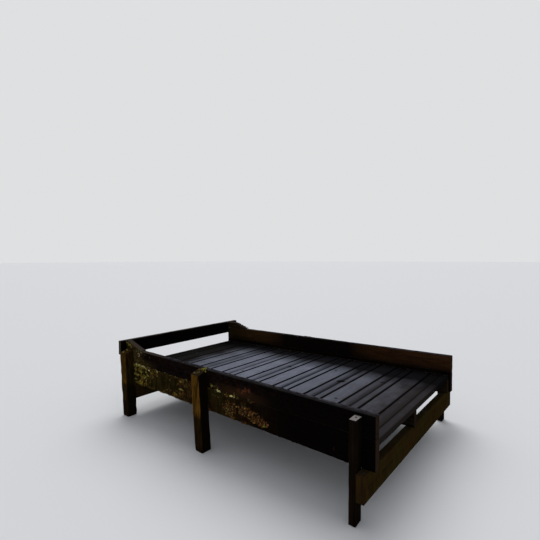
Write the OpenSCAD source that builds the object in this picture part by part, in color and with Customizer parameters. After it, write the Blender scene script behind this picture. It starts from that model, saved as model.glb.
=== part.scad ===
/* [Deck] */
// Number of deck boards laid across the jetty
board_n = 17; // [14:1:20]
// Width of one deck board
board_w = 145; // [120:1:170]
// Thickness of one deck board
board_t = 38; // [25:1:45]
// Open gap between two deck boards
board_gap = 10.4; // [6:0.2:14]
// Height of the deck surface above the posts' feet
deck_z = 466; // [360:2:1200]
// Clear width between the kerbs at the lake end
clear_w = 1388; // [1000:2:2000]
// Angle in plan by which the far side opens out towards the bank
far_skew = 4.86; // [0:0.02:6]
// Depth of the worn hollow on every second board
cup_d = 4; // [1:0.5:6]
// Width of the drying crack beside that hollow
crack_w = 3; // [1:0.5:5]
// Depth of the drying crack
crack_d = 9; // [4:1:15]

/* [Edge beams and kerbs] */
// Thickness of the edge beams and of the kerb boards on them
kerb_t = 55; // [40:1:70]
// Depth of the edge beams
beam_h = 188; // [160:1:220]
// Height by which the edge beams stand above the deck
beam_lip = 34; // [20:1:50]
// Depth of the near kerb board
near_kerb_h = 138; // [120:1:160]
// Depth of the far kerb board
far_kerb_h = 144; // [120:1:160]
// How far beams and kerbs run past the deck at the lake end
lake_over = 17; // [5:1:40]
// How far beams and kerbs run past the deck at the bank
bank_over = 20; // [0:1:80]

/* [End rail and cheeks] */
// Thickness of the end rail
rail_t = 45; // [30:1:60]
// Depth of the end rail
rail_h = 140; // [120:1:160]
// Height of the end rail's lower edge above the deck
rail_lift = 106; // [90:1:120]
// How far the end rail runs past the near kerb
near_rail_over = 60; // [20:1:90]
// How far the end rail runs past the far kerb
far_rail_over = 105; // [20:1:120]
// Length of the near cheek, which slopes down from the rail to the kerb
near_cheek_l = 267; // [200:1:320]
// Length of the near cheek's level top
near_cheek_top = 22; // [20:1:140]
// Length of the far cheek
far_cheek_l = 285; // [220:1:360]
// Length of the far cheek's level top
far_cheek_top = 112; // [20:1:180]
// Height left at the thin end of both cheeks
cheek_toe = 5; // [3:1:10]

/* [Joists and bearers] */
// Thickness of the joists
joist_t = 47; // [38:1:60]
// Distance of the middle joist from the near face
middle_joist_y = 725; // [500:5:900]
// Thickness of the bearers
bearer_t = 50; // [40:1:60]
// Depth of the bearers
bearer_h = 160; // [120:1:175]

/* [Posts and stakes] */
// Side of the square posts
post_w = 95; // [80:1:110]
// Lean of the four posts: their tops are racked towards the lake
post_lean = 5; // [0:0.5:6]
// Worn corner along the posts' edges
post_worn = 8; // [2:1:12]
// Start of the two lake posts along the deck, at deck height
lake_post_x = 31; // [20:1:80]
// Start of the near middle post along the deck, at deck height
near_middle_x = 1127; // [900:1:1400]
// Start of the far middle post along the deck, at deck height
far_middle_x = 1080; // [900:1:1400]
// Start of the bank stakes along the deck
stake_x = 2520; // [1800:1:2520]
// Width of the bank stakes along the deck
stake_w = 48; // [38:1:60]
// Depth of the bank stakes across the deck
stake_d = 80; // [60:1:100]
// Height of the near posts' outer edge above the deck
near_post_rise = 142; // [60:1:160]
// Height of the far posts' outer edge above the deck
far_post_rise = 158; // [60:1:190]
// Fall of the near posts' tops from the kerb outwards
near_post_fall = 30; // [0:1:40]
// Fall of the far posts' tops from the kerb outwards
far_post_fall = 12; // [0:1:40]
// Height of the bank stakes above the deck
stake_rise = 154; // [60:1:170]

/* [Hidden] */
deck_l = board_n * board_w + (board_n - 1) * board_gap;
board_under = deck_z - board_t;
beam_top = deck_z + beam_lip;
beam_under = beam_top - beam_h;
end_x = -lake_over;
bank_x = deck_l + bank_over;
rail_x = end_x - rail_t;
near_kerb_top = beam_top + near_kerb_h;
far_kerb_top = beam_top + far_kerb_h;
rail_top = deck_z + rail_lift + rail_h;
// The bearer stands flush with the lake posts' bank faces at its own upper edge
lake_bearer_x = lake_post_x + post_w + (deck_z - beam_under) * tan(post_lean) - bearer_t;
bank_bearer_x = stake_x + stake_w;
// Worn corner on sawn timber
ease = 3;
// Share of a board's width at which its drying crack runs
crack_at = 0.57;
// Number of facets across a worn hollow
cup_steps = 8;
// Extra length that is trimmed off skewed pieces
trim = 60;
// Origin: middle of the bounding box, on the plane of the feet
mid_x = (rail_x + bank_x) / 2;
mid_y = (far_out(stake_x) + stake_d - post_w) / 2;

// Place across the jetty of the far kerb's inner and outer face, and start of a board
function far_in(x) = kerb_t + clear_w + x * tan(far_skew);
function far_out(x) = far_in(x) + kerb_t / cos(far_skew);
function board_x(i) = (i - 1) * (board_w + board_gap);

// Block between two places along, across and up
module block(x0, x1, y0, y1, z0, z1) {
  translate([x0, y0, z0]) cube([x1 - x0, y1 - y0, z1 - z0]);
}

// Pieces drawn from the far kerb's inner face, cut off square at both ends
module far_line(x0, x1) {
  intersection() {
    translate([0, far_in(0), 0]) rotate([0, 0, far_skew]) children();
    block(x0, x1, clear_w / 2, far_out(x1) + trim, 0, 2 * rail_top);
  }
}

// Section of a flat board with worn upper corners
module flat_section() {
  polygon([[0, 0], [board_w, 0], [board_w, board_t - ease], [board_w - ease, board_t],
    [ease, board_t], [0, board_t - ease]]);
}

// Section of a board worn hollow on the lake side of its drying crack
module hollow_section() {
  crack_x = board_w * crack_at;
  span = crack_x - crack_w - ease;
  polygon(concat(
    [[0, 0], [board_w, 0], [board_w, board_t - ease], [board_w - ease, board_t]],
    [[crack_x + crack_w, board_t], [crack_x, board_t - crack_d], [crack_x - crack_w, board_t - 1]],
    [for (k = [cup_steps - 1 : -1 : 1]) let (s = k / cup_steps)
      [ease + span * s, board_t - cup_d * sin(180 * s) - s]],
    [[ease, board_t], [0, board_t - ease]]));
}

// Deck board between the two edge beams; counted from the bank, the odd ones are hollow
module deck_board(i) {
  x = board_x(i);
  color("slategray") intersection() {
    translate([x, kerb_t, board_under]) rotate([90, 0, 0]) mirror([0, 0, 1])
      linear_extrude(far_in(deck_l)) {
        if ((board_n - i) % 2 == 0) hollow_section();
        else flat_section();
      }
    linear_extrude(deck_z) polygon([[x, kerb_t], [x + board_w, kerb_t],
      [x + board_w, far_in(x + board_w)], [x, far_in(x)]]);
  }
}

// Timber along the deck with worn upper corners
module worn_timber(x0, x1, t, z0, z1) {
  h = z1 - z0;
  translate([x0, 0, z0]) rotate([90, 0, 90]) linear_extrude(x1 - x0)
    polygon([[0, 0], [t, 0], [t, h - ease], [t - ease, h], [ease, h], [0, h - ease]]);
}

module near_edge_beam() {
  color("darkolivegreen") block(end_x, bank_x, 0, kerb_t, beam_under, beam_top);
}

module far_edge_beam() {
  color("darkolivegreen") far_line(end_x, bank_x)
    block(end_x - trim, bank_x + trim, 0, kerb_t, beam_under, beam_top);
}

module near_kerb() {
  color("saddlebrown") worn_timber(end_x, bank_x, kerb_t, beam_top, near_kerb_top);
}

module far_kerb() {
  color("saddlebrown") far_line(end_x, bank_x)
    worn_timber(end_x - trim, bank_x + trim, kerb_t, beam_top, far_kerb_top);
}

// Sloped cheek on a kerb, level behind the rail and then falling to a thin end
module cheek(x0, l, level, z) {
  rise = rail_top - z;
  translate([0, 0, z]) rotate([90, 0, 0]) mirror([0, 0, 1]) linear_extrude(kerb_t)
    polygon([[x0, 0], [end_x + l, 0], [end_x + l, cheek_toe], [end_x + level, rise], [x0, rise]]);
}

module near_cheek() {
  color("peru") cheek(end_x, near_cheek_l, near_cheek_top, near_kerb_top);
}

module far_cheek() {
  color("peru") far_line(end_x, bank_x) cheek(end_x - trim, far_cheek_l, far_cheek_top, far_kerb_top);
}

module end_rail() {
  color("sienna") block(rail_x, end_x, -near_rail_over, far_out(end_x) + far_rail_over,
    rail_top - rail_h, rail_top);
}

module near_joist() {
  color("dimgray") block(0, deck_l, kerb_t, kerb_t + joist_t, beam_under, board_under);
}

module middle_joist() {
  color("dimgray") block(0, deck_l, middle_joist_y, middle_joist_y + joist_t, beam_under, board_under);
}

module far_joist() {
  color("dimgray") far_line(0, deck_l)
    block(-trim, deck_l + 2 * trim, -joist_t, 0, beam_under, board_under);
}

// Bearer across the jetty from outer face to outer face of its two uprights
module bearer(x, y0, y1) {
  color("dimgray") block(x, x + bearer_t, y0, y1, beam_under - bearer_h, beam_under);
}

module lake_bearer() {
  bearer(lake_bearer_x, -post_w, far_out(lake_post_x) + post_w);
}

module bank_bearer() {
  bearer(bank_bearer_x, -stake_d, far_out(stake_x) + stake_d);
}

// Square post with worn corners, racked along the deck about its place at deck height
module racked_post(x, y0, y1) {
  translate([x, 0, deck_z]) rotate([0, -post_lean, 0]) translate([0, y0, -2 * deck_z])
    linear_extrude(4 * deck_z) polygon([[post_worn, 0], [post_w - post_worn, 0], [post_w, post_worn],
      [post_w, y1 - y0], [0, y1 - y0], [0, post_worn]]);
}

// Trims a near post: level foot, top falling away from the kerb
module near_post(x) {
  color("olivedrab") intersection() {
    racked_post(x, -post_w, 0);
    translate([x - post_w, 0, 0]) rotate([90, 0, 90]) linear_extrude(3 * post_w)
      polygon([[-post_w, 0], [0, 0], [0, deck_z + near_post_rise + near_post_fall],
        [-post_w, deck_z + near_post_rise]]);
  }
}

// Trims a far post: inner side on the skewed line, level foot, top falling away from the kerb
module far_post(x) {
  y0 = far_out(x);
  color("olivedrab") intersection() {
    mirror([0, 1, 0]) racked_post(x, -y0 - post_w, trim - y0);
    linear_extrude(rail_top) polygon([[x - post_w, far_out(x - post_w)],
      [x + 2 * post_w, far_out(x + 2 * post_w)], [x + 2 * post_w, y0 + post_w], [x - post_w, y0 + post_w]]);
    translate([x - post_w, y0, 0]) rotate([90, 0, 90]) linear_extrude(3 * post_w)
      polygon([[-trim, 0], [post_w, 0], [post_w, deck_z + far_post_rise],
        [-trim, deck_z + far_post_rise + far_post_fall * (post_w + trim) / post_w]]);
  }
}

// Notch that takes the lake bearer, flush with the posts' bank faces
module bearer_notch() {
  block(lake_bearer_x, lake_bearer_x + bearer_t, -2 * post_w, far_out(lake_post_x) + 2 * post_w,
    beam_under - bearer_h, beam_under);
}

module near_lake_post() {
  difference() { near_post(lake_post_x); bearer_notch(); }
}

module far_lake_post() {
  difference() { far_post(lake_post_x); bearer_notch(); }
}

module near_middle_post() { near_post(near_middle_x); }
module far_middle_post() { far_post(far_middle_x); }

module near_bank_stake() {
  color("olivedrab") block(stake_x, stake_x + stake_w, -stake_d, 0, 0, deck_z + stake_rise);
}

module far_bank_stake() {
  y0 = far_out(stake_x);
  color("olivedrab") linear_extrude(deck_z + stake_rise)
    polygon([[stake_x, y0], [stake_x + stake_w, far_out(stake_x + stake_w)],
      [stake_x + stake_w, y0 + stake_d], [stake_x, y0 + stake_d]]);
}

// The whole jetty moved to its origin
module placed() {
  translate([-mid_x, -mid_y, 0]) children();
}

placed() deck_board(1);  // deck_board_01
placed() deck_board(2);  // deck_board_02
placed() deck_board(3);  // deck_board_03
placed() deck_board(4);  // deck_board_04
placed() deck_board(5);  // deck_board_05
placed() deck_board(6);  // deck_board_06
placed() deck_board(7);  // deck_board_07
placed() deck_board(8);  // deck_board_08
placed() deck_board(9);  // deck_board_09
placed() deck_board(10);  // deck_board_10
placed() deck_board(11);  // deck_board_11
placed() deck_board(12);  // deck_board_12
placed() deck_board(13);  // deck_board_13
placed() deck_board(14);  // deck_board_14
placed() deck_board(15);  // deck_board_15
placed() deck_board(16);  // deck_board_16
placed() deck_board(17);  // deck_board_17
placed() near_kerb();
placed() far_kerb();
placed() near_cheek();
placed() far_cheek();
placed() end_rail();
placed() near_edge_beam();
placed() far_edge_beam();
placed() near_joist();
placed() middle_joist();
placed() far_joist();
placed() lake_bearer();
placed() bank_bearer();
placed() near_lake_post();
placed() far_lake_post();
placed() near_middle_post();
placed() far_middle_post();
placed() near_bank_stake();
placed() far_bank_stake();
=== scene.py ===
# %% [markdown]
# A wooden jetty of sawn timber, dressed for a render.
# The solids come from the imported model: boards, beams, kerbs, posts. They already have the right
# shapes, so this script gives them weathered wood, and adds what is too small or too soft for a
# solid: moss, lichen, bolts and nails. Every length below is written in millimetres and turned into
# metres once, so a number can be read against the real thing.

# %% Load the solids
import math
import random
from random import gauss, uniform
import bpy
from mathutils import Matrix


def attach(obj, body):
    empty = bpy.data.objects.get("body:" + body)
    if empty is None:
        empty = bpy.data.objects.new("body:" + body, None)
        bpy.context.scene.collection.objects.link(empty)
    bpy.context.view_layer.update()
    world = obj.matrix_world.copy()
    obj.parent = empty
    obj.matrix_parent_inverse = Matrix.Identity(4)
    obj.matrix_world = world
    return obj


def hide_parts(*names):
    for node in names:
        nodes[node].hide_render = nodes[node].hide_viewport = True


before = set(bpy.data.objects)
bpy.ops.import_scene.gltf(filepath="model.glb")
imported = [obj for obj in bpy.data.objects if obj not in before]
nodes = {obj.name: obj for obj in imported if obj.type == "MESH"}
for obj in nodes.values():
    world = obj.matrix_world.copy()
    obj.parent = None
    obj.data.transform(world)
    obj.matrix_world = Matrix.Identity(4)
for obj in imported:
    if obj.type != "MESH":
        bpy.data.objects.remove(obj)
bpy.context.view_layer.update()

from types import SimpleNamespace

import bmesh
import bpy
from mathutils import Matrix, Vector, geometry, noise

MM = 0.001

# %% [markdown]
# The camera looks from eye height over the jetty's near corner. Its place, its turn and its lens
# were worked out from the vanishing points of the boards and of the kerb, and then from the edges
# of the rail, the near beam and the far kerb.

# %% Camera
CAMERA_PLACE = Vector((2.2160, -2.8470, 1.5355))
CAMERA_TILT = math.radians(88.341)
CAMERA_TURN = math.radians(39.254)
CAMERA_ROLL = math.radians(-0.123)
LENS_MM = 24.853
SENSOR_MM = 36


def stand(name, data):
    """Makes an object from its data and puts it in the scene."""
    made = bpy.data.objects.new(name, data)
    bpy.context.scene.collection.objects.link(made)
    return made


camera_data = bpy.data.cameras.new("eye_height_camera")
camera_data.lens = LENS_MM
camera_data.sensor_width = SENSOR_MM
camera = stand("eye_height_camera", camera_data)
camera.location = CAMERA_PLACE
turned = Matrix.Rotation(CAMERA_TURN, 3, "Z") @ Matrix.Rotation(CAMERA_TILT, 3, "X")
camera.rotation_euler = (turned @ Matrix.Rotation(CAMERA_ROLL, 3, "Z")).to_euler()
bpy.context.scene.camera = camera
print("camera at", tuple(CAMERA_PLACE), "lens", LENS_MM, "mm")

# %% [markdown]
# Two small functions carry every material. Colours are written as sRGB hex, the way a paint chart
# shows them, and one function turns them into the linear values that the shader wants. The other
# adds a shader node with its settings and its links, and hands back the socket that the next one
# needs, so a material reads from top to bottom like a recipe.

# %% Helpers for materials
def linear(hex_colour):
    """Turns an sRGB hex colour into the linear colour that a shader takes."""
    channels = [int(hex_colour[i:i + 2], 16) / 255 for i in (1, 3, 5)]
    return tuple(c / 12.92 if c <= 0.04045 else ((c + 0.055) / 1.055) ** 2.4 for c in channels) + (1.0,)


def add(tree, kind, inputs=None, out=0, **settings):
    """Adds a shader node, sets it, fills or links its inputs, and returns an output, if it has one."""
    made = tree.nodes.new(kind)
    for setting, value in settings.items():
        setattr(made, setting, value)
    for socket, value in (inputs or {}).items():
        if isinstance(value, bpy.types.NodeSocket):
            tree.links.new(value, made.inputs[socket])
        else:
            made.inputs[socket].default_value = value
    return made.outputs[out] if made.outputs else made


# A colour Mix node takes its share at 0 and its two colours at 6 and 7, and gives its result at 2
MIX = dict(kind="ShaderNodeMix", out=2, data_type="RGBA")
# A Map Range node takes its value and the range it reads at 0 to 2, and the range it gives at 3 and 4
RANGE = "ShaderNodeMapRange"
MATH = "ShaderNodeMath"
VECTOR = "ShaderNodeVectorMath"
print("linear mid grey:", [round(v, 3) for v in linear("#808080")])

# %% [markdown]
# The stage is a pale, matt floor under soft studio light. The world gives an even fill from all
# around, and one very soft sun lamp beyond the end rail makes the deck brighter than the sides. A
# sun lamp lights the floor evenly out to the horizon, where a spot or an area lamp would leave a
# bright pool. What the camera sees behind the jetty is a pale colour that lights nothing.

# %% Floor and light
FLOOR_SIZE_M = 400
FILL_STRENGTH = 0.55
SUN_STRENGTH = 1.75
SUN_SOFTNESS = math.radians(50)
SUN_FROM = Vector((-0.45, 0.55, 1.0))

floor_mesh = bpy.data.meshes.new("studio_floor")
floor_shape = bmesh.new()
bmesh.ops.create_grid(floor_shape, x_segments=1, y_segments=1, size=FLOOR_SIZE_M / 2)
floor_shape.to_mesh(floor_mesh)
floor_shape.free()
paper = bpy.data.materials.new("matt_paper")
paper.use_nodes = True
paper_look = paper.node_tree.nodes["Principled BSDF"].inputs
paper_look["Base Color"].default_value = linear("#d6d7d8")
paper_look["Roughness"].default_value = 0.9
floor_mesh.materials.append(paper)
floor = stand("studio_floor", floor_mesh)

world = bpy.data.worlds.new("soft_studio")
world.use_nodes = True
surround = world.node_tree
surround.nodes.clear()
rays = add(surround, "ShaderNodeLightPath").node
seen = add(surround, MATH, {0: rays.outputs["Is Camera Ray"], 1: rays.outputs["Is Glossy Ray"]},
    operation="MAXIMUM")
seen = add(surround, MATH, {0: seen, 1: rays.outputs["Is Transmission Ray"]}, operation="MAXIMUM")
fill = add(surround, "ShaderNodeBackground", {0: linear("#f4f6fc"), 1: FILL_STRENGTH})
backdrop = add(surround, "ShaderNodeBackground", {0: linear("#dfe0e1"), 1: 1})
both = add(surround, "ShaderNodeMixShader", {0: seen, 1: fill, 2: backdrop})
add(surround, "ShaderNodeOutputWorld", {0: both})
bpy.context.scene.world = world

sun_data = bpy.data.lights.new("soft_sun", "SUN")
sun_data.energy = SUN_STRENGTH
sun_data.angle = SUN_SOFTNESS
sun = stand("soft_sun", sun_data)
sun.rotation_euler = SUN_FROM.to_track_quat("Z", "Y").to_euler()
bpy.context.scene.view_settings.view_transform = "Standard"
print("floor", FLOOR_SIZE_M, "m, fill", FILL_STRENGTH, "sun", SUN_STRENGTH)

# %% [markdown]
# Sawn softwood that has stood outdoors for years looks the same everywhere: grey where daylight
# bleaches it, brown to black where it stays damp, streaked along its grain, and open at its ends,
# where the growth rings show. So all timbers share the same patterns. They read Object coordinates,
# turned into millimetres of the jetty itself, so a streak 18 mm wide is written as 18. A growth line
# is under 1 mm wide and would not show at all from here, so grain lines are drawn 5 mm apart.

# %% Patterns of weathered timber
STREAK_MM = (18, 700)
GRAIN_MM = (5, 160)
BLOTCH_MM = (260, 260)
KNOT_MM = (130, 260)
GRAIN_ORDER = {"X": (1, 2, 0), "Y": (0, 2, 1), "Z": (0, 1, 2)}


def empty_material(name):
    """A new material without nodes, its tree, and its Object coordinates in millimetres."""
    material = bpy.data.materials.new(name)
    material.use_nodes = True
    tree = material.node_tree
    tree.nodes.clear()
    place = add(tree, "ShaderNodeTexCoord", out=3)
    return material, tree, add(tree, VECTOR, {0: place, 3: 1 / MM}, operation="SCALE")


def repeat_every(across_mm, along_mm):
    """Scale that repeats a pattern over these lengths, with its last axis along the grain."""
    return (1 / across_mm, 1 / across_mm, 1 / along_mm)


def cloud(tree, place, size_mm, detail, roughness):
    """Noise whose patches have a real size, across the grain and along it."""
    scaled = add(tree, "ShaderNodeMapping", {0: place, 3: repeat_every(*size_mm)})
    return add(tree, "ShaderNodeTexNoise", {0: scaled, 2: 1, 3: detail, 4: roughness})


def patterns(tree, place, grain):
    """Where a point is, which way it faces, and the noises that every timber shares."""
    x, y, z = add(tree, "ShaderNodeSeparateXYZ", {0: place}).node.outputs
    sawn = add(tree, "ShaderNodeCombineXYZ", {i: (x, y, z)[k] for i, k in enumerate(GRAIN_ORDER[grain])})
    normal = add(tree, "ShaderNodeNewGeometry", out=1)
    facing = add(tree, "ShaderNodeSeparateXYZ", {0: normal}).node.outputs
    end = add(tree, MATH, {0: facing["XYZ".index(grain)]}, operation="ABSOLUTE")
    # A side that faces away from the jetty's middle has its place and its normal on the same side
    outward = add(tree, MATH, {0: y, 1: facing[1]}, operation="MULTIPLY")
    knots = add(tree, "ShaderNodeMapping", {0: sawn, 3: repeat_every(*KNOT_MM)})
    return SimpleNamespace(
        place=place, sawn=sawn, x=x, y=y, z=z, front=facing[1], up=facing[2],
        outward=add(tree, RANGE, {0: outward, 1: 150, 2: 600}),
        end=add(tree, RANGE, {0: end, 1: 0.8, 2: 0.9}),
        streak=cloud(tree, sawn, STREAK_MM, 3, 0.6),
        grain=cloud(tree, sawn, GRAIN_MM, 3, 0.7),
        blotch=cloud(tree, place, BLOTCH_MM, 5, 0.6),
        knot=add(tree, "ShaderNodeTexVoronoi", {0: knots, 2: 1}))


print("streaks, grain and knots:", STREAK_MM, GRAIN_MM, KNOT_MM, "mm")

# %% [markdown]
# Whatever weather does to a timber, and the shade that is painted on it, is laid over it as a
# stain. A stain has a colour and a few shares, such as how far along the jetty a point lies, or how
# much its face looks up. The shares are multiplied, so the stain shows only where all of them are
# strong. Last comes the shader, with a relief of real height.

# %% Stains and surfaces
# The near black of the painted shade on outer faces towards the stakes
PAINTED_SHADE_BLACK = "#070505"


def stain(tree, body, colour, *shares):
    """Lays a colour over the body, as strongly as its shares multiplied. A share is a value, or a
    span: what it reads, where it starts, where it is full, and its least and its most."""
    strength = None
    for share in shares:
        if isinstance(share, tuple):
            share = add(tree, RANGE, dict(enumerate(share)))
        if strength is not None:
            share = add(tree, MATH, {0: strength, 1: share}, operation="MULTIPLY")
        strength = share
    over = linear(colour) if isinstance(colour, str) else colour
    return add(tree, inputs={0: strength, 6: body, 7: over}, **MIX)


def surface(tree, body, height, relief_mm, look, strength=1):
    """Ends a material: its colour, a relief this high at most, and what else the shader takes."""
    bump = add(tree, "ShaderNodeBump", {"Strength": strength, "Distance": relief_mm * MM, "Height": height})
    shader = add(tree, "ShaderNodeBsdfPrincipled", {"Base Color": body, "Normal": bump, **look})
    add(tree, "ShaderNodeOutputMaterial", {0: shader})


def distance_from(tree, value, middle):
    """How far a value lies from a middle."""
    offset = add(tree, MATH, {0: value, 1: middle}, operation="SUBTRACT")
    return add(tree, MATH, {0: offset}, operation="ABSOLUTE")


print("damp black as a stain lays it:", linear(PAINTED_SHADE_BLACK))

# %% [markdown]
# One function makes all the timbers, in the order in which weather works on them: streaky sapwood
# first, grey bleaching on upward faces, fine dark grain, damp blotches, knots, and rings on the
# sawn ends. The rings are drawn 12 mm apart, because real ones would be too fine to show. What
# grows on the wood or stains it comes last, as a coat that each timber may bring.

# %% Weathered timber
RING_MM = 12
RING_MIDDLE_MM = (130, 210, 0)
# A Wave texture of scale 1 repeats every tau / 20 millimetres
WAVE_AT_1 = math.tau / 20
RELIEF_MM = 2.5


def timber(name, solids, grain, heart, face, bleached, rings, coat=None, roughness=0.85, cloudy=1):
    """Makes solids of weathered timber: heart is its darkest streak, face its sides, bleached what
    daylight greyed. Cloudy says how much damp blotches change it, from 0 to 1."""
    material, tree, place = empty_material(name)
    part = patterns(tree, place, grain)
    body = stain(tree, linear(heart), face, (part.streak, 0.36, 0.62))
    dry = (part.blotch, 0.34, 0.6, 1 - 0.55 * cloudy, 1)
    body = stain(tree, body, bleached, (part.up, 0.35, 0.9), dry)
    lines = add(tree, RANGE, {0: part.grain, 1: 0.36, 2: 0.6, 3: 0.66, 4: 1.12})
    damp = {0: part.blotch, 1: 0.3, 2: 0.64, 3: 1 - 0.3 * cloudy, 4: 1 + 0.15 * cloudy}
    shade = add(tree, MATH, {0: lines, 1: add(tree, RANGE, damp)}, operation="MULTIPLY")
    body = add(tree, VECTOR, {0: body, 3: shade}, operation="SCALE")
    body = stain(tree, body, heart, (part.knot, 0.05, 0.085, 0.8, 0))
    ring_place = add(tree, "ShaderNodeMapping", {0: part.sawn, 1: RING_MIDDLE_MM})
    ring = add(tree, "ShaderNodeTexWave", {0: ring_place, 1: WAVE_AT_1 / RING_MM, 2: 1.2, 3: 3, 4: 5},
        out=1, wave_type="RINGS", rings_direction="Z")
    end_tone = stain(tree, linear(rings[0]), rings[1], ring)
    body = stain(tree, body, end_tone, part.end)
    if coat:
        body = coat(tree, part, body)
    relief = add(tree, MATH, {0: part.grain, 1: part.streak}, operation="ADD")
    surface(tree, body, relief, RELIEF_MM, {"Roughness": roughness, "Specular IOR Level": 0})
    for solid in solids:
        mesh = nodes[solid].data
        mesh.materials.clear()
        mesh.materials.append(material)
    print("timber:", name, "grain along", grain)


# %% [markdown]
# Deck boards: rough-sawn larch or fir, gone grey, with a bluish slate tone on top that is partly a
# painted reflection of the sky. Each was cut from another log, so each has a tone of its own, drawn
# from its number along the deck. The boards that have worn hollow are darker, most of all in a band
# beside the crack. The faces in the gaps are painted black as shade. The rail end is darker, the
# stake end is trodden brown, a painted shade darkens a wide strip along the far kerb, and a damp
# strip follows the near kerb.

# %% Deck boards
PITCH_MM = 155.4
BOARD_MM = 145
DECK_START_MM = -1294.7
DECK_TOP_MM = 466
STAKE_END_MM = 1335
NEAR_KERB_MM = -793.7
FAR_KERB_MM = 594.3
FAR_SLOPE = 0.08503
# Across a board: where its hollow begins and is deep, and where it ends at the crack
HOLLOW_MM = (24, 76, 92, 100)
# Along the deck: where the dark band in the hollows is faintest, and where it is full
HOLLOW_BAND_MM = (-750, 500)
ARRIS_MM = (61, 69)
# Along, across and the radius
LOOSE_KNOTS_MM = ((35, 125, 19), (645, 54, 33), (946, 256, 21), (-119, 480, 16), (300, -420, 12),
    (-509, 384, 13), (812, -330, 11))
# Colour, direction, where it starts and is full, its most, and how far blotches shift its edge:
# trodden dirt, a darker rail end, painted shade on a wide strip along the far kerb, and the damp
# along the near kerb
DECK_EDGES_MM = (("#272321", "x", 300, 1250, 0.9, 280), ("#15130f", "x", -650, -985, 0.96, 70),
    ("#0e0d0e", "y", 215, 480, 0.97, 70), ("#26221d", "y", NEAR_KERB_MM + 100, NEAR_KERB_MM, 0.8, 42))


def deck_coat(tree, part, body):
    """Board tones, a dark band in the hollows, painted shade in the gaps and by the far kerb, loose knots,
    and edge stains.
    """
    count = add(tree, MATH, {0: part.x, 1: DECK_START_MM}, operation="SUBTRACT")
    count = add(tree, MATH, {0: count, 1: PITCH_MM}, operation="DIVIDE")
    board = add(tree, MATH, {0: count}, operation="FLOOR")
    across = add(tree, MATH, {0: count}, operation="FRACT")
    across = add(tree, MATH, {0: across, 1: PITCH_MM}, operation="MULTIPLY")
    chance = add(tree, "ShaderNodeTexWhiteNoise", {"W": board}, noise_dimensions="1D")
    own = add(tree, RANGE, {0: chance, 3: 0.8, 4: 1.12})
    # Boards 0, 2, 4 and so on are hollow between their rail side and the crack
    odd = add(tree, MATH, {0: board, 1: 2}, operation="MODULO")
    hollow = add(tree, MATH, {0: 1, 1: odd}, operation="SUBTRACT")
    sunken = add(tree, RANGE, {0: hollow, 3: 1, 4: 0.87})
    for shade in (own, sunken):
        body = add(tree, VECTOR, {0: body, 3: shade}, operation="SCALE")
    body = stain(tree, body, "#0a0a0d", (across, *HOLLOW_MM[:2]), (across, *HOLLOW_MM[2:], 1, 0), hollow,
        (part.streak, 0.3, 0.62, 1, 0.8), (part.x, *HOLLOW_BAND_MM, 0.4, 1))
    # The faces inside the gaps are painted black as shade, and so is a thin line along each arris
    body = stain(tree, body, "#030303", (part.x, STAKE_END_MM, STAKE_END_MM - 5), (part.up, 0.6, 0.2))
    from_middle = distance_from(tree, across, BOARD_MM / 2)
    body = stain(tree, body, "#070708", (from_middle, *ARRIS_MM, 0, 0.97))
    # A few loose knots have gone black
    plan = add(tree, VECTOR, {0: part.place, 1: (1, 1, 0)}, operation="MULTIPLY")
    for x, y, radius in LOOSE_KNOTS_MM:
        apart = add(tree, VECTOR, {0: plan, 1: (x, y, 0)}, out=1, operation="DISTANCE")
        body = stain(tree, body, "#040404", (apart, 1.3 * radius, 0.8 * radius))
    for colour, direction, start, full, most, shift in DECK_EDGES_MM:
        ragged = add(tree, RANGE, {0: part.blotch, 1: 0.2, 2: 0.8, 3: -shift, 4: shift})
        ragged = add(tree, MATH, {0: getattr(part, direction), 1: ragged}, operation="ADD")
        body = stain(tree, body, colour, (ragged, start, full, 0, most))
    return body


BOARDS = sorted(name for name in nodes if name.startswith("deck_board_"))
# The bleached tone on top is bluish: partly weathered grey, partly a painted reflection of the sky
timber("weathered_larch_rough_sawn", BOARDS, "Y", "#161415", "#1f1d1d", "#70737f",
    ("#3d3833", "#57524c"), deck_coat, roughness=0.75, cloudy=0.25)

# %% [markdown]
# Kerbs and cheeks: treated softwood, purple-brown where it keeps its stain. Mottling comes first,
# then a rusty patch on the outer faces, and painted shade, near black, on the outer faces towards
# the stakes. Rain also splashes the foot of the outer faces, olive near the rail and rusty beyond
# the second post.

# %% Outer faces of the kerbs
MOTTLE_MM = (48, 36)
# Middle and size of the rusty patch, along and up
RUSTY_MIDDLE_MM = (335, 552)
RUSTY_SIZE_MM = (75, 38)
# Along the jetty: where the painted shade on the outer faces starts, and where it is full
SHADE_TOWARD_STAKES_MM = (300, 800)
FOOT_MM = (575, 515)
OLIVE_FOOT_MM = (-760, -1000)
RUSTY_FOOT_MM = 270


def shade_toward_stakes(tree, part, body):
    """Painted shade, near black, on outer faces towards the stakes."""
    return stain(tree, body, PAINTED_SHADE_BLACK, (part.x, *SHADE_TOWARD_STAKES_MM, 0, 0.85), part.outward)


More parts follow.
